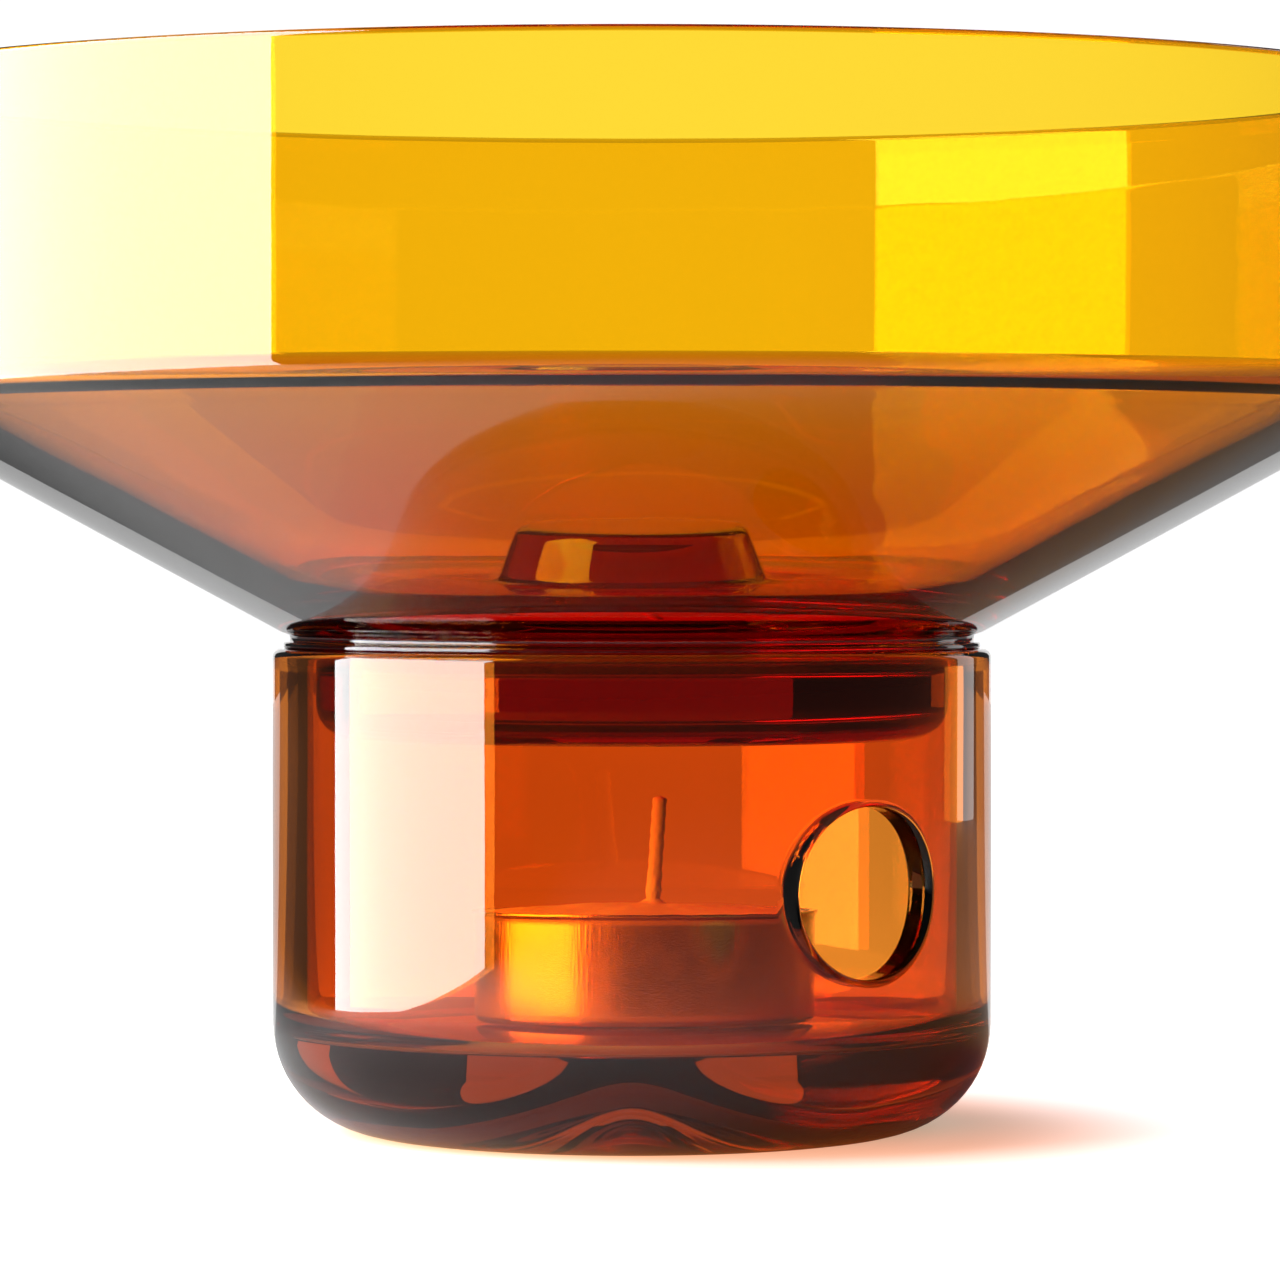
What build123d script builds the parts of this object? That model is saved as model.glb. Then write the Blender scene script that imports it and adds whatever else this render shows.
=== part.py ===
from build123d import *

import math
import os

# Tealight holder: a thick-bottomed glass cup with an air hole, a wide glass bowl whose solid plug
# drops into the cup's mouth, and a tealight candle on the cup's floor.
# Millimetres, +Z up, origin at the centre of the ring that the cup stands on.
# The air hole faces -Y.

# ---- cup: the lower glass ------------------------------------------------------------------
CUP_RADIUS = 40.0
CUP_HEIGHT = 53.8
CUP_WALL = 3.8
CUP_FLOOR = 11.2            # glass under the candle chamber, at the chamber's corner
CUP_DIP = 1.6               # the chamber's floor sinks by this much at its centre
CUP_DIP_RADIUS = 18.0
CUP_CORNER = 3.5            # rounding inside, from the wall into the floor
CUP_FOOT = 12.2             # rounding outside, from the wall into the foot
CUP_RIM = 1.0               # fire-polished rim
PUNT_RADIUS = 17.0          # bell-shaped hollow in the underside
PUNT_HEIGHT = 6.5
AIR_HOLE_RADIUS = 9.2
AIR_HOLE_HEIGHT = 28.2
AIR_HOLE_EDGE = 0.8         # ground and polished edge of the hole

# ---- bowl: the upper glass -----------------------------------------------------------------
BOWL_RADIUS = 87.2
BOWL_WALL = 1.5
BOWL_CONE_WALL = 1.8        # at the top of the cone; thicker towards the neck
BOWL_RIM_HEIGHT = 62.2      # from the cup's rim up to the bowl's rim
BOWL_CONE_ANGLE = 28.5      # degrees above level, outside
BOWL_HOLLOW_ANGLE = 26.3    # degrees above level, inside
BOWL_SHOULDER = 3.5         # outer rounding between wall and cone
BOWL_HOLLOW_SHOULDER = 2.5   # the same rounding inside
BOWL_FLOOR = 5.6            # from the cup's rim up to the bowl's inner floor
BOWL_FLOOR_BLEND = 30.0     # rounding from the floor into the cone
NECK_INSET = 0.9            # lower edge of the cone, in from the cup's outer wall
NECK_HEIGHT = 1.85          # from the cup's rim up to that edge
NECK_EDGE = 0.5
BEAD_INSET = 1.2            # the bead lies on the cup's rim, in from the cup's outer wall
BEAD_EDGE = 0.3
GROOVE_DEPTH = 0.7          # in from the bead
GROOVE_TOP = 1.5
GROOVE_BOTTOM = 0.75
PLUG_CLEARANCE = 1.0        # between the plug and the cup's wall
PLUG_DEPTH = 9.9            # below the cup's rim
PLUG_EDGE = 4.0
KNOB_FOOT_RADIUS = 15.3     # raised boss in the middle of the bowl's floor
KNOB_TOP_RADIUS = 12.8
KNOB_HEIGHT = 5.6
KNOB_TOP_EDGE = 1.6
KNOB_FOOT_BLEND = 2.2

# ---- tealight ------------------------------------------------------------------------------
CANDLE_RADIUS = 19.0
CANDLE_HEIGHT = 12.7
CANDLE_FOIL = 0.25          # drawn aluminium
CANDLE_CORNER = 1.2
CANDLE_LIP = 0.35           # the foil's edge is turned out by this much
CANDLE_OFFSET = 1.4         # the candle stands this far off the cup's axis
CANDLE_LEAN = 2.0           # degrees
CANDLE_BEARING = 50.0       # degrees from +X: the way that it leans
CANDLE_LIFT = 0.03          # gap between the foil's lowest point and the glass
WAX_DROP = 0.35             # the wax meets the foil this far below the foil's edge
WAX_DOME = 1.1
WAX_COLLAR_RADIUS = 1.9     # the wax climbs the wick
WAX_COLLAR_HEIGHT = 0.9
WICK_RADIUS = 0.85
WICK_GAP = 7.3              # the wick is trimmed to end this far under the plug
WICK_LEAN = 4.0             # degrees
WICK_BEARING = -40.0        # degrees from +X
SUSTAINER_RADIUS = 6.5      # metal disc that holds the wick's foot
SUSTAINER_SHEET = 0.3
SUSTAINER_NECK_RADIUS = 1.25
SUSTAINER_NECK_HEIGHT = 3.6

# ---- derived -------------------------------------------------------------------------------
CUP_BORE = CUP_RADIUS - CUP_WALL
PLUG_RADIUS = CUP_BORE - PLUG_CLEARANCE
NECK_RADIUS = CUP_RADIUS - NECK_INSET
BEAD_RADIUS = CUP_RADIUS - BEAD_INSET
GROOVE_RADIUS = BEAD_RADIUS - GROOVE_DEPTH
WICK_TOP = CUP_HEIGHT - PLUG_DEPTH - WICK_GAP - CUP_FLOOR
WAX_TOP = CANDLE_HEIGHT - WAX_DROP
SMOOTH_STEPS = 9            # points on a bell-shaped curve


def turned(outline, name):
    """Solid of revolution about Z of a closed outline of wires or edges in the XZ plane."""
    solid = revolve(make_face(outline), Axis.Z)
    solid.label = name
    return solid


def ring_outline(corners):
    """Closed outline in the XZ plane; each corner is (radius, height, rounding)."""
    points = [(r, 0, z) for r, z, rounding in corners]
    return FilletPolyline(*points, radius=[rounding for r, z, rounding in corners], close=True)


def bell(radius, height):
    """Solid bell standing on the plane z = 0: level at its top and at its edge."""
    points = []
    for step in range(SMOOTH_STEPS + 1):
        share = step / SMOOTH_STEPS
        points.append((radius * share, 0, height * (1 + math.cos(math.pi * share)) / 2))
    curve = Spline(*points, tangents=[(1, 0, 0), (1, 0, 0)])
    sides = Polyline(points[-1], (0, 0, 0), points[0])
    return revolve(make_face([curve, sides]), Axis.Z)


def glass_cup():
    """Cup with a rounded foot, a dipped floor, a hollow underside and a round air hole."""
    corners = [
        (0, 0, 0),
        (CUP_RADIUS, 0, CUP_FOOT),
        (CUP_RADIUS, CUP_HEIGHT, CUP_RIM),
        (CUP_BORE, CUP_HEIGHT, CUP_RIM),
        (CUP_BORE, CUP_FLOOR, CUP_CORNER),
        (0, CUP_FLOOR, 0),
    ]
    body = revolve(make_face(ring_outline(corners)), Axis.Z)
    body -= Pos(0, 0, CUP_FLOOR) * Rot(180, 0, 0) * bell(CUP_DIP_RADIUS, CUP_DIP)
    body -= bell(PUNT_RADIUS, PUNT_HEIGHT)
    bore = Pos(0, -CUP_RADIUS, AIR_HOLE_HEIGHT) * Rot(90, 0, 0) * Cylinder(AIR_HOLE_RADIUS, CUP_RADIUS)
    cup = body - bore
    return fillet(cup.edges().filter_by(rounds_the_hole), AIR_HOLE_EDGE)


def rounds_the_hole(edge):
    """True for an edge that runs round either mouth of the air hole."""
    middle = edge.center(CenterOf.BOUNDING_BOX)
    centred = abs(middle.X) < 0.1 * AIR_HOLE_RADIUS
    level = abs(middle.Z - AIR_HOLE_HEIGHT) < 0.1 * AIR_HOLE_RADIUS
    return centred and level and middle.Y < -CUP_BORE / 2


def glass_bowl():
    """Bowl with a conical underside, a neck groove, a solid plug and a raised boss on its floor."""
    slope = math.tan(math.radians(BOWL_CONE_ANGLE))
    shoulder = NECK_HEIGHT + (BOWL_RADIUS - NECK_RADIUS) * slope
    inner_radius = BOWL_RADIUS - BOWL_WALL
    cone_wall = BOWL_CONE_WALL / math.cos(math.radians(BOWL_CONE_ANGLE))
    inner_shoulder = shoulder + cone_wall - BOWL_WALL * slope
    hollow_slope = math.tan(math.radians(BOWL_HOLLOW_ANGLE))
    floor_radius = inner_radius - (inner_shoulder - BOWL_FLOOR) / hollow_slope
    rim_round = BOWL_WALL * 0.48
    corners = [
        (0, -PLUG_DEPTH, 0),
        (PLUG_RADIUS, -PLUG_DEPTH, PLUG_EDGE),
        (PLUG_RADIUS, 0, 0),
        (BEAD_RADIUS, 0, BEAD_EDGE),
        (BEAD_RADIUS, GROOVE_BOTTOM, BEAD_EDGE),
        (GROOVE_RADIUS, GROOVE_BOTTOM, 0),
        (GROOVE_RADIUS, GROOVE_TOP, 0),
        (NECK_RADIUS, NECK_HEIGHT, NECK_EDGE),
        (BOWL_RADIUS, shoulder, BOWL_SHOULDER),
        (BOWL_RADIUS, BOWL_RIM_HEIGHT, rim_round),
        (inner_radius, BOWL_RIM_HEIGHT, rim_round),
        (inner_radius, inner_shoulder, BOWL_HOLLOW_SHOULDER),
        (floor_radius, BOWL_FLOOR, BOWL_FLOOR_BLEND),
        (KNOB_FOOT_RADIUS, BOWL_FLOOR, KNOB_FOOT_BLEND),
        (KNOB_TOP_RADIUS, BOWL_FLOOR + KNOB_HEIGHT, KNOB_TOP_EDGE),
        (0, BOWL_FLOOR + KNOB_HEIGHT, 0),
    ]
    return Pos(0, 0, CUP_HEIGHT) * turned(ring_outline(corners), "glass_bowl")


def tealight_cup():
    """Drawn aluminium cup with an edge turned outwards."""
    lip_radius = CANDLE_RADIUS + CANDLE_LIP
    corners = [
        (0, 0, 0),
        (CANDLE_RADIUS, 0, CANDLE_CORNER),
        (CANDLE_RADIUS, CANDLE_HEIGHT - 2 * CANDLE_FOIL, 0),
        (lip_radius, CANDLE_HEIGHT - CANDLE_FOIL, 0),
        (lip_radius, CANDLE_HEIGHT, 0),
        (CANDLE_RADIUS - CANDLE_FOIL, CANDLE_HEIGHT, 0),
        (CANDLE_RADIUS - CANDLE_FOIL, CANDLE_FOIL, CANDLE_CORNER - CANDLE_FOIL),
        (0, CANDLE_FOIL, 0),
    ]
    return turned(ring_outline(corners), "tealight_cup")


def wick():
    """Wick that leans and is rounded off at its top."""
    length = (WICK_TOP - CANDLE_FOIL - SUSTAINER_SHEET) / math.cos(math.radians(WICK_LEAN))
    rod = Cylinder(WICK_RADIUS, length, align=(Align.CENTER, Align.CENTER, Align.MIN))
    top = rod.edges().sort_by(Axis.Z)[-1]
    rod = fillet(top, WICK_RADIUS * 0.6)
    foot = Pos(0, 0, CANDLE_FOIL + SUSTAINER_SHEET)
    return foot * leaning(WICK_LEAN, WICK_BEARING - CANDLE_BEARING) * rod


def leaning(angle, bearing):
    """Rotation that tips +Z by angle towards the compass bearing, both in degrees."""
    return Rot(0, 0, bearing) * Rot(0, angle, 0) * Rot(0, 0, -bearing)


def wick_sustainer(wick_rod):
    """Pressed metal disc with a neck that grips the wick's foot."""
    neck_top = SUSTAINER_SHEET + SUSTAINER_NECK_HEIGHT
    corners = [
        (0, 0, 0),
        (SUSTAINER_RADIUS, 0, 0),
        (SUSTAINER_RADIUS, SUSTAINER_SHEET, 0),
        (SUSTAINER_NECK_RADIUS, SUSTAINER_SHEET, SUSTAINER_SHEET),
        (SUSTAINER_NECK_RADIUS, neck_top, 0),
        (0, neck_top, 0),
    ]
    return Pos(0, 0, CANDLE_FOIL) * turned(ring_outline(corners), "wick_sustainer") - wick_rod


def wax(wick_rod, sustainer):
    """Wax that fills the foil, is domed on top and climbs the wick a little."""
    inner = CANDLE_RADIUS - CANDLE_FOIL
    surface = WAX_TOP + WAX_DOME
    dome_radius = (inner ** 2 + WAX_DOME ** 2) / (2 * WAX_DOME)
    halfway = surface - dome_radius + math.sqrt(dome_radius ** 2 - inner ** 2 / 4)
    rim = (inner, 0, WAX_TOP)
    peak = (0, 0, surface)
    sides = FilletPolyline(peak, (0, 0, CANDLE_FOIL), (inner, 0, CANDLE_FOIL), rim,
                           radius=[0, CANDLE_CORNER - CANDLE_FOIL])
    dome = ThreePointArc(rim, (inner / 2, 0, halfway), peak)
    drift = surface * math.tan(math.radians(WICK_LEAN))
    bearing = math.radians(WICK_BEARING - CANDLE_BEARING)
    collar = Pos(drift * math.cos(bearing), drift * math.sin(bearing), surface - WAX_COLLAR_HEIGHT)
    fill = turned([sides, dome], "wax") + collar * bell(WAX_COLLAR_RADIUS, 2 * WAX_COLLAR_HEIGHT)
    return fill - wick_rod - sustainer


def candle_place():
    """Where the candle stands: off the axis and leaning back a little."""
    bearing = math.radians(CANDLE_BEARING)
    lean = math.radians(CANDLE_LEAN)
    drop = (CANDLE_RADIUS - CANDLE_CORNER) * math.sin(lean) - CANDLE_CORNER * (1 - math.cos(lean))
    side = (CANDLE_OFFSET * math.sin(bearing), -CANDLE_OFFSET * math.cos(bearing))
    place = Pos(side[0], side[1], CUP_FLOOR + drop + CANDLE_LIFT)
    return place * Rot(0, 0, CANDLE_BEARING) * Rot(0, CANDLE_LEAN, 0)


def main():
    os.makedirs("parts", exist_ok=True)
    rod = wick()
    foil_cup = tealight_cup()
    sustainer = wick_sustainer(rod)
    place = candle_place()
    pieces = {
        "glass_cup": glass_cup(),
        "glass_bowl": glass_bowl(),
        "tealight_cup": place * foil_cup,
        "wax": place * wax(rod, sustainer),
        "wick": place * rod,
        "wick_sustainer": place * sustainer,
    }
    for name, solid in pieces.items():
        export_step(solid, "parts/" + name + ".step")


main()
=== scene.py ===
import math

import bpy
from mathutils import Matrix, Vector, noise


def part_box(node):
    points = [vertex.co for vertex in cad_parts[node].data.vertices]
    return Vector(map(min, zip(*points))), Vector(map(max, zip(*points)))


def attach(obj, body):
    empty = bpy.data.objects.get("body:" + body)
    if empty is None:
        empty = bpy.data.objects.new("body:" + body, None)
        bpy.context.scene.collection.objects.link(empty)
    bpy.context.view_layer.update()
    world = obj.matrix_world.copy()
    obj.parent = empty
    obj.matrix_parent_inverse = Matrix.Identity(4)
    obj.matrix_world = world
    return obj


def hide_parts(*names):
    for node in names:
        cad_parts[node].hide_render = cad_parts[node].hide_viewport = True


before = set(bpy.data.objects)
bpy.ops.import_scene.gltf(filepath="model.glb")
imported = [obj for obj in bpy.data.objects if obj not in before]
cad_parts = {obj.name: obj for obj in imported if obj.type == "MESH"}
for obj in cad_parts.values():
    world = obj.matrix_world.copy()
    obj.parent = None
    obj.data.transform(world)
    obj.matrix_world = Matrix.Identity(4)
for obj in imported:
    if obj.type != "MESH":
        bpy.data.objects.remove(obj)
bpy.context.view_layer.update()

# Tealight holder in amber glass: a cup with an air hole, a wide bowl whose plug drops into the cup,
# and a tealight candle. Lengths below are millimetres, and MM turns them into the scene's metres.
MM = 0.001


def size_of(node_name):
    """Lowest and highest corner of a CAD node, in millimetres."""
    low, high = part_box(node_name)
    return low / MM, high / MM


CUP_LOW, CUP_HIGH = size_of("glass_cup")
BOWL_LOW, BOWL_HIGH = size_of("glass_bowl")
FOIL_LOW, FOIL_HIGH = size_of("tealight_cup")

# ---- sizes of the glass, as the CAD part has them ------------------------------------------
CUP_RADIUS = (CUP_HIGH.x - CUP_LOW.x) / 2
CUP_HEIGHT = CUP_HIGH.z
CUP_WALL = 3.8
CUP_FLOOR = 11.2
CUP_DIP = 1.6
CUP_DIP_RADIUS = 18.0
CUP_CORNER = 3.5
CUP_FOOT = 12.2
CUP_RIM = 1.0
PUNT_RADIUS = 17.0
PUNT_HEIGHT = 6.5
AIR_HOLE_RADIUS = 9.2
AIR_HOLE_HEIGHT = 28.2
AIR_HOLE_EDGE = 0.8
BOWL_RADIUS = 87.2
BOWL_WALL = 1.5
BOWL_CONE_WALL = 1.8
BOWL_TOP = BOWL_HIGH.z
BOWL_CONE_ANGLE = 28.5
BOWL_HOLLOW_ANGLE = 26.3
BOWL_SHOULDER = 3.5
BOWL_HOLLOW_SHOULDER = 2.5
BOWL_FLOOR = 5.6
BOWL_FLOOR_BLEND = 30.0
NECK_INSET = 0.9
NECK_HEIGHT = 1.85
NECK_EDGE = 0.5
BEAD_INSET = 1.2
BEAD_EDGE = 0.3
GROOVE_DEPTH = 0.7
GROOVE_TOP = 1.5
GROOVE_BOTTOM = 0.75
PLUG_CLEARANCE = 1.0
PLUG_EDGE = 4.0
KNOB_FOOT_RADIUS = 15.3
KNOB_TOP_RADIUS = 12.8
KNOB_HEIGHT = 5.6
KNOB_TOP_EDGE = 1.6
KNOB_FOOT_BLEND = 2.2

TURN_STEPS = 360            # facets round the glass
ARC_STEP = 6.0              # degrees between points on a rounding


# ---- small helpers -------------------------------------------------------------------------
def linear(code):
    """sRGB hex code to linear colour with full alpha."""
    channels = [int(code[i:i + 2], 16) / 255 for i in (1, 3, 5)]
    return [c / 12.92 if c <= 0.04045 else ((c + 0.055) / 1.055) ** 2.4 for c in channels] + [1.0]


def node(tree, kind, settings=(), links=()):
    """Adds a node; settings set its sockets or properties, links feed its sockets."""
    made = tree.nodes.new(kind)
    for name, value in dict(settings).items():
        if isinstance(name, str) and hasattr(made, name) and name not in made.inputs:
            setattr(made, name, value)
        else:
            made.inputs[name].default_value = value
    for name, source in dict(links).items():
        tree.links.new(source, made.inputs[name])
    return made


def material(name):
    """An empty node material and its output node."""
    made = bpy.data.materials.new(name)
    made.use_nodes = True
    made.node_tree.nodes.clear()
    return made, made.node_tree, made.node_tree.nodes.new("ShaderNodeOutputMaterial")


def rounded(corners):
    """Points of a closed outline of (radius, height, rounding), with round corners as arcs."""
    points = []
    count = len(corners)
    for i, (r, z, rounding) in enumerate(corners):
        here = Vector((r, z))
        to_last = (Vector(corners[i - 1][:2]) - here).normalized()
        to_next = (Vector(corners[(i + 1) % count][:2]) - here).normalized()
        if rounding == 0:
            points.append(here)
            continue
        half = to_last.angle(to_next) / 2
        centre = here + (to_last + to_next).normalized() * rounding / math.sin(half)
        start = here + to_last * rounding / math.tan(half) - centre
        end = here + to_next * rounding / math.tan(half) - centre
        turn = start.angle_signed(end)
        steps = max(2, math.ceil(abs(math.degrees(turn)) / ARC_STEP))
        for step in range(steps + 1):
            points.append(centre + Matrix.Rotation(-turn * step / steps, 2) @ start)
    return points


def between(first, last, parts):
    """Evenly spaced points from first to last, both left out."""
    return [first.lerp(last, step / parts) for step in range(1, parts)]


def mesh_object(name, verts, faces, place=None, smooth=True):
    """A mesh object from points in millimetres, moved by the place's matrix if there is one."""
    points = [place @ Vector(v) for v in verts] if place else [Vector(v) for v in verts]
    mesh = bpy.data.meshes.new(name)
    mesh.from_pydata([p * MM for p in points], [], faces)
    mesh.validate()
    mesh.shade_smooth() if smooth else mesh.shade_flat()
    made = bpy.data.objects.new(name, mesh)
    bpy.context.scene.collection.objects.link(made)
    return made


def turned(outline, steps=TURN_STEPS, wobble=None, skip=None):
    """Turns an outline that starts and ends on the axis. skip(row, column) leaves out a face."""
    verts = [(0.0, 0.0, outline[0].y)]
    rings = outline[1:-1]
    for point in rings:
        for step in range(steps):
            angle = 2 * math.pi * step / steps
            r, z = wobble(point.x, point.y, angle) if wobble else (point.x, point.y)
            verts.append((r * math.cos(angle), r * math.sin(angle), z))
    verts.append((0.0, 0.0, outline[-1].y))
    last = len(verts) - 1
    top = last - steps
    faces = []
    for step in range(steps):
        after = (step + 1) % steps
        faces.append((0, 1 + after, 1 + step))
        faces.append((last, top + step, top + after))
        for row in range(len(rings) - 1):
            if skip and skip(row, step):
                continue
            a = 1 + row * steps
            b = a + steps
            faces.append((a + step, a + after, b + after, b + step))
    return verts, faces


def dense(points, longest):
    """The same outline with points added, so that no step in it is longer than this."""
    filled = [points[0]]
    for point in points[1:]:
        parts = max(1, math.ceil((point - filled[-1]).length / longest))
        filled += between(filled[-1], point, parts) + [point]
    return filled


# ---- camera and studio ---------------------------------------------------------------------
CAMERA_AZIMUTH = -40.0
CAMERA_DISTANCE = 672.0
CAMERA_HEIGHT = 67.1
CAMERA_LENS = 169.6
AIM_HEIGHT = 54.65
AIM_RIGHT = 0.9

LAMPS = (
    # name, metres to the right and towards the camera, degrees turned, width, height, foot, glow
    ("softbox", -0.216, 0.097, -93, 0.266, 0.50, 0.0, 13.0),
    ("backdrop", 0.0, -1.60, 180, 1.00, 1.20, 0.0, 1.08),
    ("strip", 0.566, -0.492, 131, 0.18, 0.80, 0.0, 1.3),
)
BACKCLOTH_GLOW = 1.1        # the white cloth behind the holder
ROOM_GLOW = 0.12            # the dim room round the table
MIRRORED_GLOW = 0.05        # the same room as glass and metal show it
SWEEP_GLOW = 0.6            # the white paper behind the holder, lit from above
CARD_SHADE = "#ABABAB"      # the table top, as dim as the glass shows it
CARD_WHITE = "#D8D8D8"
PAINTED_SHADOW_AMBER = "#FFC27A"      # painted amber shadow on the table close to the glass, in the card's own glow
PAINTED_SHADOW_FROM = 38.0            # that painted shadow fades out between these distances from the middle
PAINTED_SHADOW_TO = 66.0
# how weak the card's own glow is close to the glass: painted shade
PAINTED_SHADOW_GLOW = 0.45
SWEEP_NEAR = (45, 60)       # half width and distance of the paper's near edge
SWEEP_FAR = (850, 1600)
SWEEP_LIFT = 0.05
FLOOR_REACH = 4000


def make_camera():
    """Long lens, just under the bowl's rim, with the air hole to the right of the middle."""
    turn = math.radians(CAMERA_AZIMUTH)
    back = Vector((math.sin(turn), -math.cos(turn), 0))
    right = Vector((math.cos(turn), math.sin(turn), 0))
    data = bpy.data.cameras.new("camera")
    data.lens = CAMERA_LENS
    data.sensor_width = 36
    data.clip_start = 0.01
    camera = bpy.data.objects.new("camera", data)
    camera.location = (back * CAMERA_DISTANCE + Vector((0, 0, CAMERA_HEIGHT))) * MM
    aim = (right * AIM_RIGHT + Vector((0, 0, AIM_HEIGHT))) * MM
    camera.rotation_mode = "QUATERNION"
    camera.rotation_quaternion = (aim - camera.location).to_track_quat("-Z", "Y")
    bpy.context.scene.collection.objects.link(camera)
    bpy.context.scene.camera = camera
    return camera


def make_studio(camera):
    """White floor and soft lamps on a turntable that keeps facing the camera."""
    hub = bpy.data.objects.new("studio", None)
    bpy.context.scene.collection.objects.link(hub)
    track = hub.constraints.new("LOCKED_TRACK")
    track.target = camera
    track.track_axis = "TRACK_NEGATIVE_Y"
    track.lock_axis = "LOCK_Z"
    for name, across, towards, turn, width, tall, low, glow in LAMPS:
        data = bpy.data.lights.new(name, "AREA")
        data.shape = "RECTANGLE"
        data.size = width
        data.size_y = tall
        data.energy = glow * math.pi * width * tall
        lamp = bpy.data.objects.new(name, data)
        lamp.location = (across, -towards, low + tall / 2)
        lamp.rotation_euler = (math.radians(90), 0, math.radians(turn))
        lamp.parent = hub
        bpy.context.scene.collection.objects.link(lamp)
    world = bpy.data.worlds.new("room")
    bpy.context.scene.world = world
    world.use_nodes = True
    tree = world.node_tree
    tree.nodes.clear()
    path = node(tree, "ShaderNodeLightPath")
    mirrored = node(tree, "ShaderNodeMath", {"operation": "MAXIMUM"},
                    {0: path.outputs["Is Glossy Ray"], 1: path.outputs["Is Transmission Ray"]})
    glows = [
        node(tree, "ShaderNodeBackground", {"Color": linear("#FFFFFF"), "Strength": glow})
        for glow in (ROOM_GLOW, MIRRORED_GLOW, BACKCLOTH_GLOW)
    ]
    room, seen_in_glass, backcloth = glows
    indoors = node(tree, "ShaderNodeMixShader", {}, {0: mirrored.outputs[0], 1: room.outputs[0],
                                                    2: seen_in_glass.outputs[0]})
    mix = node(tree, "ShaderNodeMixShader", {}, {0: path.outputs["Is Camera Ray"], 1: indoors.outputs[0],
                                                2: backcloth.outputs[0]})
    node(tree, "ShaderNodeOutputWorld", {}, {"Surface": mix.outputs[0]})
    wide = FLOOR_REACH
    verts = [(-wide, -wide, 0), (wide, -wide, 0), (wide, wide, 0), (-wide, wide, 0)]
    floor = mesh_object("floor", verts, [(0, 1, 2, 3)], smooth=False)
    floor.data.materials.append(white_card("matt_white_card", 0.0))
    (near_half, near), (far_half, far) = SWEEP_NEAR, SWEEP_FAR
    corners = [(-near_half, near), (near_half, near), (far_half, far), (-far_half, far)]
    verts = [(x, y, SWEEP_LIFT) for x, y in corners]
    sweep = mesh_object("paper_sweep", verts, [(0, 1, 2, 3)], smooth=False)
    sweep.data.materials.append(white_card("lit_white_paper", SWEEP_GLOW))
    sweep.parent = hub


def white_card(name, glow):
    """Matt white card. It looks plain white from the camera, with a painted amber shadow in its glow close to
    the glass, and in the glass as bright as it is lit.
    """
    made, tree, out = material(name)
    path = node(tree, "ShaderNodeLightPath")
    place = node(tree, "ShaderNodeNewGeometry")
    reach = node(tree, "ShaderNodeVectorMath", {"operation": "LENGTH"}, {0: place.outputs["Position"]})
    # Painted shadow: close to the glass the card's glow seen by the camera is dimmed and turned amber.
    painted_shadow_fade = node(tree, "ShaderNodeMapRange",
                    {"interpolation_type": "SMOOTHSTEP", "From Min": PAINTED_SHADOW_FROM * MM,
                     "From Max": PAINTED_SHADOW_TO * MM, "To Min": PAINTED_SHADOW_GLOW, "To Max": 1.0},
                    {"Value": reach.outputs["Value"]})
    painted_shadow_tint = node(tree, "ShaderNodeMix", {"data_type": "RGBA", 6: linear(PAINTED_SHADOW_AMBER), 7: linear("#FFFFFF")},
                  {0: painted_shadow_fade.outputs[0]})
    glow_and_painted_shadow = node(tree, "ShaderNodeEmission", {}, {"Strength": painted_shadow_fade.outputs[0], "Color": painted_shadow_tint.outputs[2]})
    shaded = node(tree, "ShaderNodeBsdfDiffuse", {"Color": linear(CARD_WHITE)})
    from_camera = node(tree, "ShaderNodeAddShader", {}, {0: shaded.outputs[0], 1: glow_and_painted_shadow.outputs[0]})
    dim = node(tree, "ShaderNodeBsdfDiffuse", {"Color": linear(CARD_SHADE)})
    bright = node(tree, "ShaderNodeEmission", {"Color": linear("#FFFFFF"), "Strength": glow})
    from_glass = node(tree, "ShaderNodeAddShader", {}, {0: dim.outputs[0], 1: bright.outputs[0]})
    mix = node(tree, "ShaderNodeMixShader", {}, {0: path.outputs["Is Camera Ray"],
                                                1: from_glass.outputs[0], 2: from_camera.outputs[0]})
    tree.links.new(mix.outputs[0], out.inputs["Surface"])
    return made


# ---- materials -----------------------------------------------------------------------------
def amber_glass(name, skin, shadow, tint, strength):
    """Soda-lime glass coloured in the melt and fire-polished: clear, and darker where it is thick.

    skin tints what passes its surface, shadow what it lets through to the table, and tint and
    strength say how the melt soaks up light.
    """
    made, tree, out = material(name)
    place = node(tree, "ShaderNodeTexCoord")
    cords = node(tree, "ShaderNodeTexNoise", {"Scale": 45.0, "Detail": 1.0, "Roughness": 0.4},
                 {"Vector": place.outputs["Object"]})
    bump = node(tree, "ShaderNodeBump", {"Strength": 0.1, "Distance": 0.0004},
                {"Height": cords.outputs["Fac"]})
    shader = node(tree, "ShaderNodeBsdfPrincipled",
                  {"Base Color": linear(skin), "Roughness": 0.0, "IOR": 1.51,
                   "Transmission Weight": 1.0},
                  {"Normal": bump.outputs[0]})
    clear = node(tree, "ShaderNodeBsdfTransparent", {"Color": linear(shadow)})
    path = node(tree, "ShaderNodeLightPath")
    mix = node(tree, "ShaderNodeMixShader", {}, {0: path.outputs["Is Shadow Ray"],
                                                1: shader.outputs[0], 2: clear.outputs[0]})
    body = node(tree, "ShaderNodeVolumeAbsorption", {"Color": linear(tint), "Density": strength})
    tree.links.new(mix.outputs[0], out.inputs["Surface"])
    tree.links.new(body.outputs[0], out.inputs["Volume"])
    return made


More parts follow.
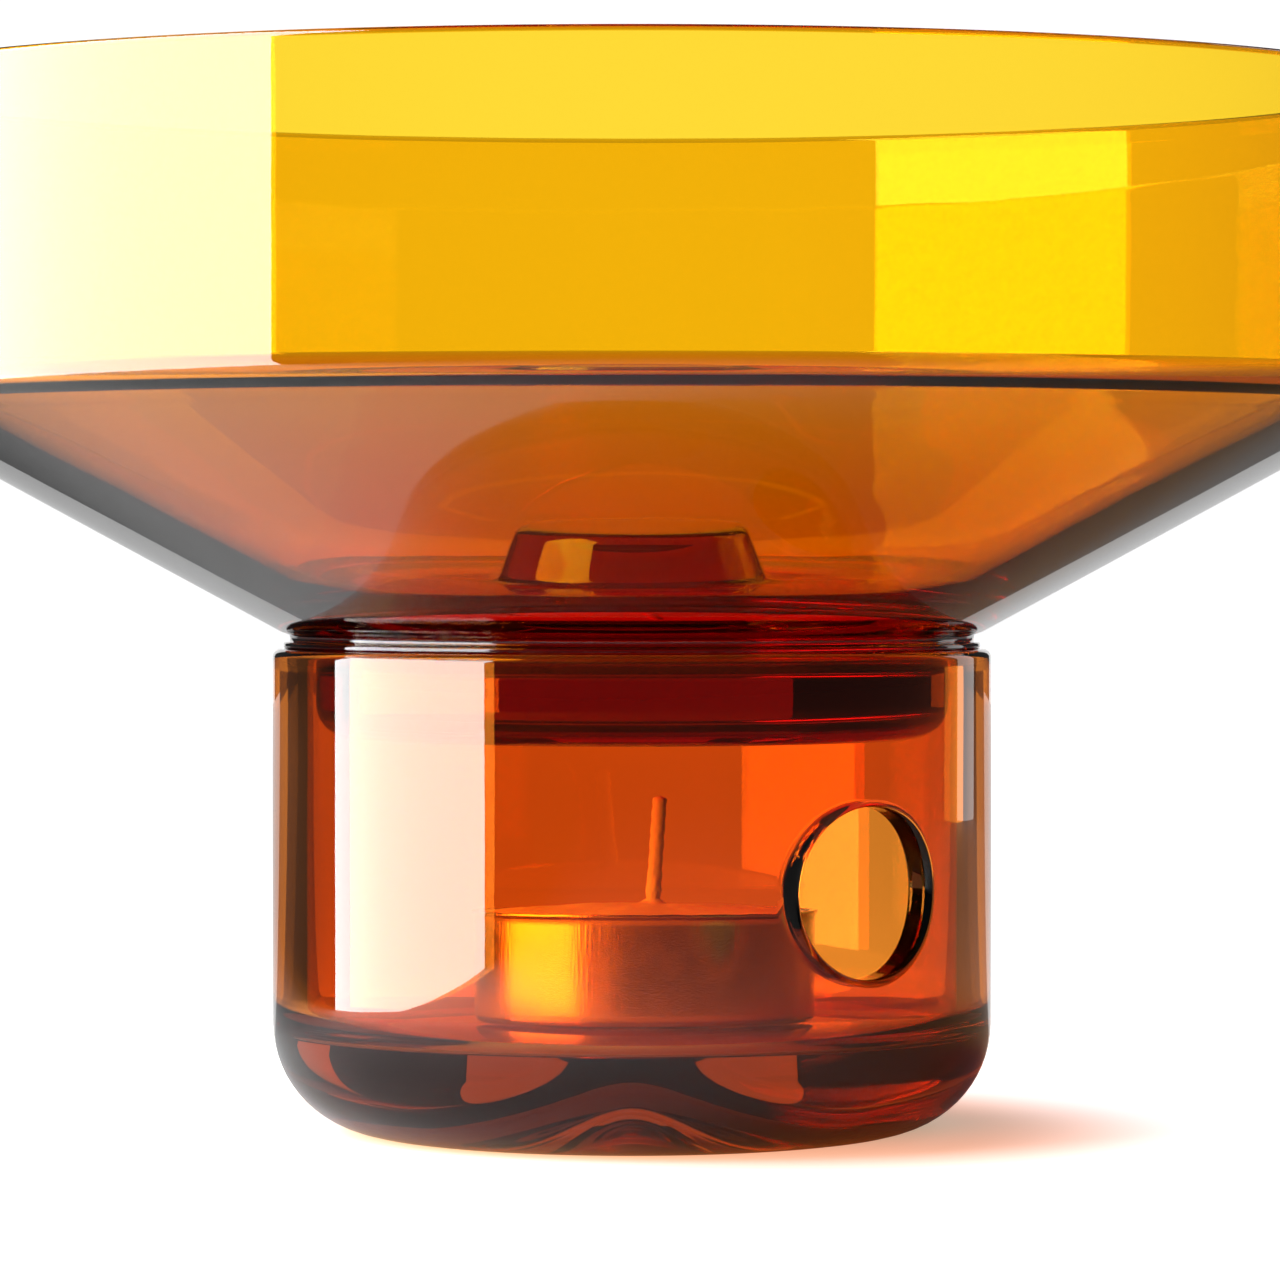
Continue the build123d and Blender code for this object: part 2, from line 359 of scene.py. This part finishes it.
def drawn_foil():
    """Aluminium sheet drawn into a cup, mill bright: it shines, with a faint dry grain."""
    made, tree, out = material("drawn_aluminium")
    place = node(tree, "ShaderNodeTexCoord")
    grain = node(tree, "ShaderNodeTexNoise", {"Scale": 5000.0, "Detail": 2.0},
                 {"Vector": place.outputs["Object"]})
    bump = node(tree, "ShaderNodeBump", {"Strength": 0.35, "Distance": 0.00003},
                {"Height": grain.outputs["Fac"]})
    patches = node(tree, "ShaderNodeTexNoise", {"Scale": 400.0, "Detail": 3.0},
                   {"Vector": place.outputs["Object"]})
    dull = node(tree, "ShaderNodeMapRange", {"To Min": 0.16, "To Max": 0.30},
                {"Value": patches.outputs["Fac"]})
    shader = node(tree, "ShaderNodeBsdfPrincipled",
                  {"Base Color": linear("#E3E3E4"), "Metallic": 1.0},
                  {"Normal": bump.outputs[0], "Roughness": dull.outputs[0]})
    tree.links.new(shader.outputs[0], out.inputs["Surface"])
    return made


def paraffin():
    """White paraffin wax, poured and set: a soft sheen over a slightly crystalline surface."""
    made, tree, out = material("paraffin_wax")
    place = node(tree, "ShaderNodeTexCoord")
    crystals = node(tree, "ShaderNodeTexNoise", {"Scale": 900.0, "Detail": 4.0},
                    {"Vector": place.outputs["Object"]})
    bump = node(tree, "ShaderNodeBump", {"Strength": 0.5, "Distance": 0.0002},
                {"Height": crystals.outputs["Fac"]})
    clouds = node(tree, "ShaderNodeTexNoise", {"Scale": 160.0, "Detail": 2.0},
                  {"Vector": place.outputs["Object"]})
    tone = node(tree, "ShaderNodeMix", {"data_type": "RGBA", 6: linear("#EFEAE0"), 7: linear("#FAF8F2")},
                {0: clouds.outputs["Fac"]})
    shader = node(tree, "ShaderNodeBsdfPrincipled",
                  {"Roughness": 0.42, "IOR": 1.44, "Subsurface Weight": 0.3, "Subsurface Scale": 0.002},
                  {"Normal": bump.outputs[0], "Base Color": tone.outputs[2]})
    tree.links.new(shader.outputs[0], out.inputs["Surface"])
    return made


def waxed_cotton():
    """Braided cotton dipped in wax: off-white, dull, with its fibres showing through."""
    made, tree, out = material("waxed_cotton_braid")
    place = node(tree, "ShaderNodeTexCoord")
    fibres = node(tree, "ShaderNodeTexNoise", {"Scale": 2500.0, "Detail": 3.0},
                  {"Vector": place.outputs["Object"]})
    bump = node(tree, "ShaderNodeBump", {"Strength": 0.5, "Distance": 0.0001},
                {"Height": fibres.outputs["Fac"]})
    tone = node(tree, "ShaderNodeMix", {"data_type": "RGBA", 6: linear("#E4DCCB"), 7: linear("#F7F2E6")},
                {0: fibres.outputs["Fac"]})
    shader = node(tree, "ShaderNodeBsdfPrincipled", {"Roughness": 0.6},
                  {"Normal": bump.outputs[0], "Base Color": tone.outputs[2]})
    tree.links.new(shader.outputs[0], out.inputs["Surface"])
    return made


def tinned_steel():
    """Thin steel pressing with a tin plating: pale grey metal, satin."""
    made, tree, out = material("tinned_steel")
    place = node(tree, "ShaderNodeTexCoord")
    scuffs = node(tree, "ShaderNodeTexNoise", {"Scale": 1200.0, "Detail": 3.0},
                  {"Vector": place.outputs["Object"]})
    dull = node(tree, "ShaderNodeMapRange", {"To Min": 0.28, "To Max": 0.45},
                {"Value": scuffs.outputs["Fac"]})
    shader = node(tree, "ShaderNodeBsdfPrincipled", {"Base Color": linear("#C6C7C9"), "Metallic": 1.0},
                  {"Roughness": dull.outputs[0]})
    tree.links.new(shader.outputs[0], out.inputs["Surface"])
    return made


# ---- glass ---------------------------------------------------------------------------------
HOLE_COLUMNS = 40           # facets each way of the square of wall that the air hole is cut in
HOLE_ROWS = 40
HOLE_PATCH = 25.0           # height of that square
HOLE_RINGS = 10             # rings of facets between that square and the hole's rounded edge
HOLE_CROWDING = 1.6         # how much closer the rings lie near the hole
HOLE_EDGE_STEPS = 6
SAME_POINT = 0.01           # lengths closer than this are taken as equal
FOOT_PARTS = 6              # facets along each straight stretch of the cup's outline
WALL_PARTS = 8


def bell(radius, height, steps=16):
    """Points of a bell, level on the axis and at its edge, from the axis outwards."""
    points = []
    for step in range(steps + 1):
        share = step / steps
        points.append(Vector((radius * share, height * (1 + math.cos(math.pi * share)) / 2)))
    return points


def cup_outline():
    """Outline of the cup from the axis under the foot, round the rim, to the axis on the floor."""
    bore = CUP_RADIUS - CUP_WALL
    low = AIR_HOLE_HEIGHT - HOLE_PATCH / 2
    corners = [
        (0, 0, 0),
        (CUP_RADIUS, 0, CUP_FOOT),
        (CUP_RADIUS, CUP_HEIGHT, CUP_RIM),
        (bore, CUP_HEIGHT, CUP_RIM),
        (bore, CUP_FLOOR, CUP_CORNER),
        (0, CUP_FLOOR, 0),
    ]
    whole = rounded(corners)
    near = SAME_POINT
    outside = [p for p in whole if p.x > CUP_RADIUS - CUP_FOOT - near and p.y < CUP_FOOT + near]
    foot = [p for p in outside if (p - Vector((CUP_RADIUS - CUP_FOOT, CUP_FOOT))).length > CUP_FOOT - near]
    rim = [p for p in whole if p.y > CUP_HEIGHT - CUP_RIM - near]
    corner = [p for p in whole if p.x < bore + near and p.x > 1 and p not in foot
              and CUP_FLOOR - near < p.y < CUP_FLOOR + CUP_CORNER + near]
    outer = [Vector((CUP_RADIUS, low + HOLE_PATCH * row / HOLE_ROWS)) for row in range(HOLE_ROWS + 1)]
    inner = [Vector((bore, p.y)) for p in reversed(outer)]
    under = bell(PUNT_RADIUS, PUNT_HEIGHT)
    dip = [p + Vector((0, CUP_FLOOR)) for p in reversed(bell(CUP_DIP_RADIUS, -CUP_DIP))]
    points = under + between(under[-1], foot[0], FOOT_PARTS) + foot
    first_outer = len(points)
    points += outer + between(outer[-1], rim[0], WALL_PARTS)
    points += rim + between(rim[-1], inner[0], WALL_PARTS)
    first_inner = len(points)
    points += inner + corner + between(corner[-1], dip[0], WALL_PARTS) + dip
    return points, first_outer, first_inner


def glass_cup():
    """The cup, with the air hole cut square to its wall and its edge rounded."""
    outline, first_outer, first_inner = cup_outline()
    middle = 3 * TURN_STEPS // 4
    left = middle - HOLE_COLUMNS // 2

    def in_patch(row, step):
        in_columns = left <= step < left + HOLE_COLUMNS
        outer = first_outer <= row + 1 < first_outer + HOLE_ROWS
        inner = first_inner <= row + 1 < first_inner + HOLE_ROWS
        return in_columns and (outer or inner)

    verts, faces = turned(outline, skip=in_patch)

    def ring_corner(first, row, column):
        return 1 + (first - 1 + row) * TURN_STEPS + (left + column) % TURN_STEPS

    def square(first, rising):
        """Vertex numbers round the square, anticlockwise seen from outside, from its lower left."""
        rows = list(range(HOLE_ROWS + 1)) if rising else list(range(HOLE_ROWS, -1, -1))
        ring = [ring_corner(first, rows[0], c) for c in range(HOLE_COLUMNS)]
        ring += [ring_corner(first, rows[r], HOLE_COLUMNS) for r in range(HOLE_ROWS)]
        ring += [ring_corner(first, rows[HOLE_ROWS], HOLE_COLUMNS - c) for c in range(HOLE_COLUMNS)]
        ring += [ring_corner(first, rows[HOLE_ROWS - r], 0) for r in range(HOLE_ROWS)]
        return ring

    outer_square = square(first_outer, True)
    inner_square = square(first_inner, False)
    bore = CUP_RADIUS - CUP_WALL

    def unrolled(index, radius):
        x, y, z = verts[index]
        return Vector((math.atan2(x, -y) * radius, z))

    def on_wall(flat, radius, depth, sign):
        angle = flat.x / radius
        r = radius - sign * depth
        return (r * math.sin(angle), -r * math.cos(angle), flat.y)

    def rim_point(bearing, reach, radius):
        x = reach * math.cos(bearing)
        return Vector((math.asin(x / radius) * radius, AIR_HOLE_HEIGHT + reach * math.sin(bearing)))

    edge = AIR_HOLE_EDGE
    count = len(outer_square)
    rings = [outer_square]
    bearings = []
    for index in outer_square:
        flat = unrolled(index, CUP_RADIUS)
        bearings.append(math.atan2(flat.y - AIR_HOLE_HEIGHT, flat.x))

    def add_ring(points):
        start = len(verts)
        verts.extend(points)
        rings.append(list(range(start, start + count)))

    def wall_ring(square_round, ring, radius, sign):
        """Ring on the wall, part of the way from the square to the hole's rounded edge."""
        share = 1 - (1 - ring / HOLE_RINGS) ** HOLE_CROWDING
        points = []
        for index, bearing in zip(square_round, bearings):
            lip = rim_point(bearing, AIR_HOLE_RADIUS + edge, radius)
            flat = unrolled(index, radius).lerp(lip, share)
            points.append(on_wall(flat, radius, 0, sign))
        add_ring(points)

    def edge_ring(step, radius, sign):
        """Ring on the hole's rounded edge, from the wall down into the hole."""
        turn = math.pi / 2 * step / HOLE_EDGE_STEPS
        reach = AIR_HOLE_RADIUS + edge * (1 - math.sin(turn))
        depth = edge * (1 - math.cos(turn))
        add_ring([on_wall(rim_point(b, reach, radius), radius, depth, sign) for b in bearings])

    for ring in range(1, HOLE_RINGS + 1):
        wall_ring(outer_square, ring, CUP_RADIUS, 1)
    for step in range(1, HOLE_EDGE_STEPS + 1):
        edge_ring(step, CUP_RADIUS, 1)
    outside = [Vector(verts[i]) for i in rings[-1]]
    lip = [on_wall(rim_point(b, AIR_HOLE_RADIUS, bore), bore, edge, -1) for b in bearings]
    for step in range(1, HOLE_EDGE_STEPS):
        add_ring([tuple(a.lerp(Vector(b), step / HOLE_EDGE_STEPS)) for a, b in zip(outside, lip)])
    for step in range(HOLE_EDGE_STEPS, -1, -1):
        edge_ring(step, bore, -1)
    for ring in range(HOLE_RINGS - 1, 0, -1):
        wall_ring(inner_square, ring, bore, -1)
    rings.append(inner_square)
    for first, second in zip(rings, rings[1:]):
        for i in range(count):
            j = (i + 1) % count
            faces.append((first[i], first[j], second[j], second[i]))
    made = mesh_object("cup_glass", verts, faces)
    return made


def bowl_outline():
    """Outline of the bowl from the axis under the plug, round the rim, to the axis on the boss."""
    slope = math.tan(math.radians(BOWL_CONE_ANGLE))
    neck = CUP_RADIUS - NECK_INSET
    bead = CUP_RADIUS - BEAD_INSET
    groove = bead - GROOVE_DEPTH
    plug = CUP_RADIUS - CUP_WALL - PLUG_CLEARANCE
    shoulder = NECK_HEIGHT + (BOWL_RADIUS - neck) * slope
    inner_radius = BOWL_RADIUS - BOWL_WALL
    cone_wall = BOWL_CONE_WALL / math.cos(math.radians(BOWL_CONE_ANGLE))
    inner_shoulder = shoulder + cone_wall - BOWL_WALL * slope
    hollow_slope = math.tan(math.radians(BOWL_HOLLOW_ANGLE))
    floor_radius = inner_radius - (inner_shoulder - BOWL_FLOOR) / hollow_slope
    rim = BOWL_TOP - CUP_HEIGHT
    rim_round = BOWL_WALL * 0.48
    corners = [
        (0, BOWL_LOW.z - CUP_HEIGHT, 0),
        (plug, BOWL_LOW.z - CUP_HEIGHT, PLUG_EDGE),
        (plug, 0, 0),
        (bead, 0, BEAD_EDGE),
        (bead, GROOVE_BOTTOM, BEAD_EDGE),
        (groove, GROOVE_BOTTOM, 0),
        (groove, GROOVE_TOP, 0),
        (neck, NECK_HEIGHT, NECK_EDGE),
        (BOWL_RADIUS, shoulder, BOWL_SHOULDER),
        (BOWL_RADIUS, rim, rim_round),
        (inner_radius, rim, rim_round),
        (inner_radius, inner_shoulder, BOWL_HOLLOW_SHOULDER),
        (floor_radius, BOWL_FLOOR, BOWL_FLOOR_BLEND),
        (KNOB_FOOT_RADIUS, BOWL_FLOOR, KNOB_FOOT_BLEND),
        (KNOB_TOP_RADIUS, BOWL_FLOOR + KNOB_HEIGHT, KNOB_TOP_EDGE),
        (0, BOWL_FLOOR + KNOB_HEIGHT, 0),
    ]
    return [p + Vector((0, CUP_HEIGHT)) for p in dense(rounded(corners), 3.0)]


def glass_bowl():
    """The bowl with its plug, blown and turned true."""
    verts, faces = turned(bowl_outline())
    return mesh_object("bowl_glass", verts, faces)


# ---- tealight ------------------------------------------------------------------------------
CANDLE_RADIUS = 19.0
CANDLE_HEIGHT = 12.7
CANDLE_FOIL = 0.25
CANDLE_CORNER = 1.2
CANDLE_LIP = 0.35
CANDLE_LEAN = 2.0
CANDLE_BEARING = 50.0
WAX_DROP = 0.35
WAX_DOME = 1.1
WAX_COLLAR_RADIUS = 1.9
WAX_COLLAR_HEIGHT = 0.9
WICK_RADIUS = 0.85
WICK_GAP = 7.3
WICK_LEAN = 4.0
WICK_BEARING = -40.0
SUSTAINER_RADIUS = 6.5
SUSTAINER_SHEET = 0.3
SUSTAINER_NECK_RADIUS = 1.25
SUSTAINER_NECK_HEIGHT = 3.6
CREASE_STEPS = 1500         # facets round the foil, four to a crease
CREASE_WIDTH = 0.22
CREASE_DEPTH = 0.02
# Crumbs of wax by the foil's edge: bearing in radians, distance from the middle and size.
CRUMBS = ((-1.9, 17.6, 0.30), (-1.35, 18.0, 0.25), (-0.4, 17.8, 0.22), (0.7, 17.9, 0.3), (2.2, 17.4, 0.28),
          (3.6, 17.9, 0.25))


def candle_place():
    """Where the candle stands and how it leans; the foil's box gives its middle."""
    bearing = Matrix.Rotation(math.radians(CANDLE_BEARING), 4, "Z")
    turn = bearing @ Matrix.Rotation(math.radians(CANDLE_LEAN), 4, "Y")
    middle = (FOIL_LOW + FOIL_HIGH) / 2
    return Matrix.Translation(middle - turn @ Vector((0, 0, CANDLE_HEIGHT / 2))) @ turn


def creased(r, z, angle):
    """Fine upright creases left in the foil's wall by drawing it, deepest near its top."""
    if r < CANDLE_RADIUS - 1.01 * CANDLE_FOIL:
        return r, z
    share = min(1.0, max(0.0, z / CANDLE_HEIGHT))
    place = Vector((math.cos(angle), math.sin(angle), 0)) * CANDLE_RADIUS
    run = Vector((0, 0, z * 0.30))
    fine = noise.noise(place / CREASE_WIDTH + run)
    broad = noise.noise(place / 4.0 + run * 0.5)
    edge = 0.08 * noise.noise(place / 2.5) * max(0.0, share - 0.9) * 10
    return r + CREASE_DEPTH * share * fine + 0.05 * share * broad, z + edge


def foil_cup(place):
    """The candle's drawn foil cup, its edge turned out."""
    bore = CANDLE_RADIUS - CANDLE_FOIL
    lip = CANDLE_RADIUS + CANDLE_LIP
    corners = [
        (0, 0, 0),
        (CANDLE_RADIUS, 0, CANDLE_CORNER),
        (CANDLE_RADIUS, CANDLE_HEIGHT - 2.4 * CANDLE_FOIL, 0.2),
        (lip, CANDLE_HEIGHT - 1.2 * CANDLE_FOIL, 0.1),
        (lip, CANDLE_HEIGHT, 0.1),
        (bore, CANDLE_HEIGHT, 0.1),
        (bore, CANDLE_FOIL, CANDLE_CORNER - CANDLE_FOIL),
        (0, CANDLE_FOIL, 0),
    ]
    whole = rounded(corners)
    wall = [i for i, p in enumerate(whole) if abs(p.x - CANDLE_RADIUS) < 0.01]
    first, last = whole[wall[0]], whole[wall[-1]]
    points = whole[:wall[0] + 1] + between(first, last, 16) + whole[wall[-1]:]
    return mesh_object("tealight_foil", *turned(points, CREASE_STEPS, creased), place)


def wick_axis():
    """Foot and direction of the wick, in the candle's own place."""
    bearing = math.radians(WICK_BEARING - CANDLE_BEARING)
    lean = math.radians(WICK_LEAN)
    along = Vector((math.sin(lean) * math.cos(bearing), math.sin(lean) * math.sin(bearing), math.cos(lean)))
    return Vector((0, 0, CANDLE_FOIL + SUSTAINER_SHEET)), along


def poured_wax(place):
    """Wax set in the foil: domed, uneven, climbing the wick, with crumbs by the foil's edge."""
    inner = CANDLE_RADIUS - CANDLE_FOIL
    top = CANDLE_HEIGHT - WAX_DROP
    foot, along = wick_axis()
    stem = foot + along * (top + WAX_DOME - foot.z)
    rows = 44
    outwards = [1 - row / rows for row in range(rows + 1)]
    dome = [Vector((inner * share, top + WAX_DOME * (1 - share ** 2))) for share in outwards]
    points = [
        Vector((0, CANDLE_FOIL)),
        Vector((inner - 0.95, CANDLE_FOIL)),
        Vector((inner - 0.2, CANDLE_FOIL + 0.3)),
        Vector((inner, CANDLE_FOIL + 0.95)),
        Vector((inner, top - 1.0)),
    ] + dome

    def poured(r, z, angle):
        if z < top - 0.01:
            return r, z
        x, y = r * math.cos(angle), r * math.sin(angle)
        inward = min(1.0, (inner - r) / 1.5)
        swells = 0.22 * noise.noise(Vector((x, y, 3.0)) / 5.0)
        ripples = 0.07 * noise.noise(Vector((x, y, 9.0)) / 1.3)
        lift = (swells + ripples) * inward
        collar = WAX_COLLAR_RADIUS * (1 + 0.25 * noise.noise(Vector((x, y, 0))))
        near = math.hypot(x - stem.x, y - stem.y) / collar
        if near < 1:
            lift += WAX_COLLAR_HEIGHT * (1 + math.cos(math.pi * near)) / 2
        for bearing, reach, size in CRUMBS:
            gap = math.hypot(x - reach * math.cos(bearing), y - reach * math.sin(bearing)) / (2.2 * size)
            if gap < 1:
                lift += size * (1 + math.cos(math.pi * gap)) / 2
        return r, z + lift

    return mesh_object("tealight_wax", *turned(points, 240, poured), place)


def braided_wick(place):
    """Round braid stiffened with wax, thicker and lumpy where it leaves the candle."""
    foot, along = wick_axis()
    top = BOWL_LOW.z - WICK_GAP - CUP_FLOOR
    length = (top - foot.z) / along.z
    rows, steps = 110, 40
    side = along.cross(Vector((0, 1, 0))).normalized()
    other = along.cross(side)
    surface = CANDLE_HEIGHT - WAX_DROP + WAX_DOME
    verts, faces = [foot], []
    for row in range(rows + 1):
        run = length * row / rows
        left = length - run
        full = math.sqrt(max(0.0, 1 - (1 - left / 0.45) ** 2)) if left < 0.45 else 1.0
        full = max(full, 0.12)
        height = foot.z + run * along.z
        lump = max(0.0, 1 - abs(height - surface - 2.0) / 1.9)
        for step in range(steps):
            angle = 2 * math.pi * step / steps
            twist = 2 * math.pi * run / 1.7
            braid = max(math.cos(2 * angle + twist), math.cos(2 * angle - twist))
            rough = noise.noise(Vector((math.cos(angle), math.sin(angle), run * 0.8)) * 2.2)
            r = (WICK_RADIUS - 0.07 + 0.035 * braid + 0.05 * rough) * full + 0.09 * lump * (0.6 + rough)
            verts.append(foot + along * run + (side * math.cos(angle) + other * math.sin(angle)) * r)
    verts.append(foot + along * length)
    last = len(verts) - 1
    for step in range(steps):
        after = (step + 1) % steps
        faces.append((0, 1 + after, 1 + step))
        faces.append((last, last - steps + step, last - steps + after))
        for row in range(rows):
            a = 1 + row * steps
            faces.append((a + step, a + after, a + steps + after, a + steps + step))
    return mesh_object("tealight_wick", verts, faces, place)


def pressed_sustainer(place):
    """The wick's pressed foot: a ribbed disc with a neck crimped on the wick."""
    top = SUSTAINER_SHEET + SUSTAINER_NECK_HEIGHT
    corners = [
        (0, 0, 0),
        (SUSTAINER_RADIUS, 0, 0.1),
        (SUSTAINER_RADIUS, SUSTAINER_SHEET, 0.1),
        (SUSTAINER_NECK_RADIUS, SUSTAINER_SHEET, 0.3),
        (SUSTAINER_NECK_RADIUS, top, 0.1),
        (SUSTAINER_NECK_RADIUS - 0.3, top, 0),
        (SUSTAINER_NECK_RADIUS - 0.45, top - 0.4, 0),
        (0, top - 0.4, 0),
    ]
    points = [p + Vector((0, CANDLE_FOIL)) for p in dense(rounded(corners), 0.5)]
    bend = CANDLE_FOIL + SUSTAINER_SHEET

    def pressed(r, z, angle):
        if r < SUSTAINER_NECK_RADIUS + 0.35:
            squeeze = max(0.0, min(1.0, (z - bend - 1.0) / 0.6))
            return r * (1 - 0.1 * squeeze * max(0.0, math.cos(4 * angle))), z
        rib = math.exp(-((r - 0.6 * SUSTAINER_RADIUS) / 0.5) ** 2)
        return r, z - (0.12 * (1 - rib) if z > bend - 0.05 else 0.0)

    return mesh_object("wick_foot_pressing", *turned(points, 120, pressed), place)


def dress(piece, finish, body, slot, *replaced):
    """Gives a piece its finish and its body, and hides the CAD parts it replaces."""
    piece.data.materials.clear()
    piece.data.materials.append(finish)
    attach(piece, body)
    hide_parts(*replaced)


def main():
    camera = make_camera()
    make_studio(camera)
    scene = bpy.context.scene
    scene.view_settings.view_transform = "Standard"
    scene.cycles.max_bounces = 32
    scene.cycles.transmission_bounces = 32
    scene.cycles.glossy_bounces = 16
    scene.cycles.transparent_max_bounces = 32
    scene.cycles.caustics_reflective = False
    scene.cycles.caustics_refractive = False
    thick_amber = amber_glass("amber_cup_glass", "#FF9B33", "#FCE8C4", "#D19900", 50.0)
    thin_amber = amber_glass("amber_bowl_glass", "#FFFF6C", "#FAF6D8", "#FCDF00", 1000.0)
    dress(glass_cup(), thick_amber, "cup", "cup_glass", "glass_cup")
    dress(glass_bowl(), thin_amber, "bowl", "bowl_glass", "glass_bowl")
    place = candle_place()
    dress(foil_cup(place), drawn_foil(), "candle", "candle_foil", "tealight_cup")
    dress(poured_wax(place), paraffin(), "candle", "candle_wax", "wax")
    dress(braided_wick(place), waxed_cotton(), "candle", "candle_wick", "wick")
    dress(pressed_sustainer(place), tinned_steel(), "candle", "wick_foot", "wick_sustainer")


main()
